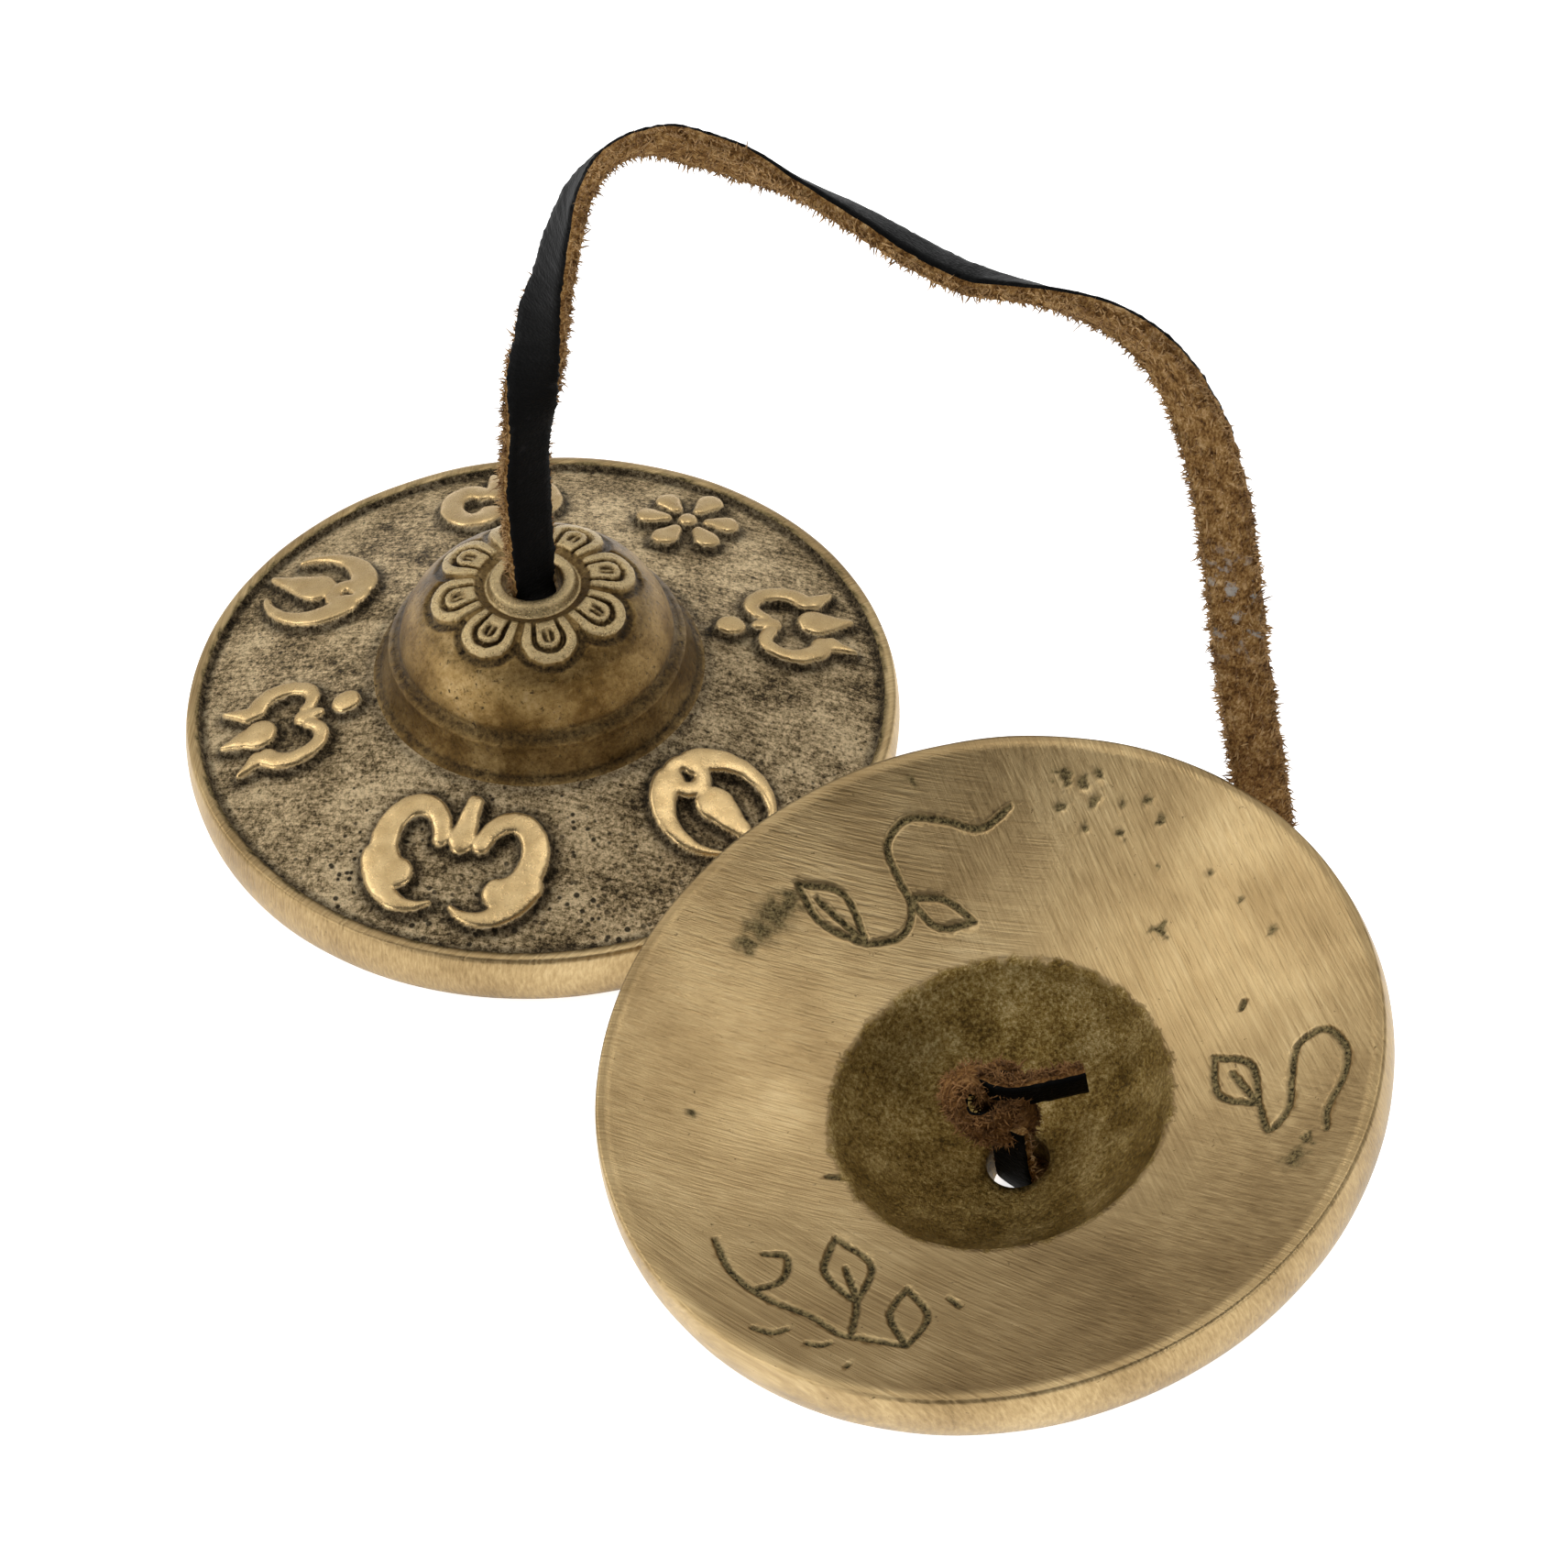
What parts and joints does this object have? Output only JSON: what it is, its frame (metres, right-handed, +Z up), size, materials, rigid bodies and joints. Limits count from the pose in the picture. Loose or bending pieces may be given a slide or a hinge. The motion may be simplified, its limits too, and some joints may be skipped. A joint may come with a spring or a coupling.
{
  "type": "hand cymbal pair on a leather thong",
  "caption": "Small thick bronze hand cymbals with domed bosses, joined through their bosses by a flat leather thong knotted inside each boss.",
  "frame": {"origin": "centre of the box round the two cymbals, on the surface they lie on, without the thong and its knots", "axes": "+Z up from the surface; +Y along the pair's longest extent, from cymbal B towards cymbal A; Z is the cymbals' shortest extent"},
  "size_m": [0.0983, 0.1245, 0.0773],
  "materials": {
    "cast_bronze": "cast bell bronze: satin brushed hollow and side, polished lip and relief, dark antique patina on the outer face",
    "leather": "flat leather thong, smooth black grain side, brown suede flesh side and cut edges"
  },
  "bodies": {
    "cymbal_a": {"cymbal_a": "cast_bronze"},
    "knot_a": {"knot_a": "leather"},
    "thong_a": {"thong_a": "leather"},
    "thong_b": {"thong_b": "leather"},
    "knot_b": {"knot_b": "leather"},
    "cymbal_b": {"cymbal_b": "cast_bronze"}
  },
  "joints": [
    {"name": "spin_a", "type": "hinge", "parent": "cymbal_a", "child": "knot_a", "pos_m": [-0.01664, 0.02958, 0.02], "axis": [0, 0, 1], "continuous": true},
    {"name": "lean_a", "type": "hinge", "parent": "knot_a", "child": "thong_a", "pos_m": [-0.01664, 0.02958, 0.02], "axis": [-0.4966, -0.868, 0], "range_deg": [0, 40]},
    {"name": "bend_crest", "type": "hinge", "parent": "thong_a", "child": "thong_b", "pos_m": [0.0104, 0.0141, 0.0728], "axis": [-0.4966, -0.868, 0], "range_deg": [0, 70]},
    {"name": "fold_b", "type": "hinge", "parent": "thong_b", "child": "knot_b", "pos_m": [0.02472, -0.0242, 0.00045], "axis": [0.6997, -0.7145, 0], "range_deg": [0, 80]},
    {"name": "spin_b", "type": "hinge", "parent": "knot_b", "child": "cymbal_b", "pos_m": [0.02037, -0.02842, 0.00081], "axis": [0.1944, 0.0785, -0.9778], "continuous": true}
  ]
}
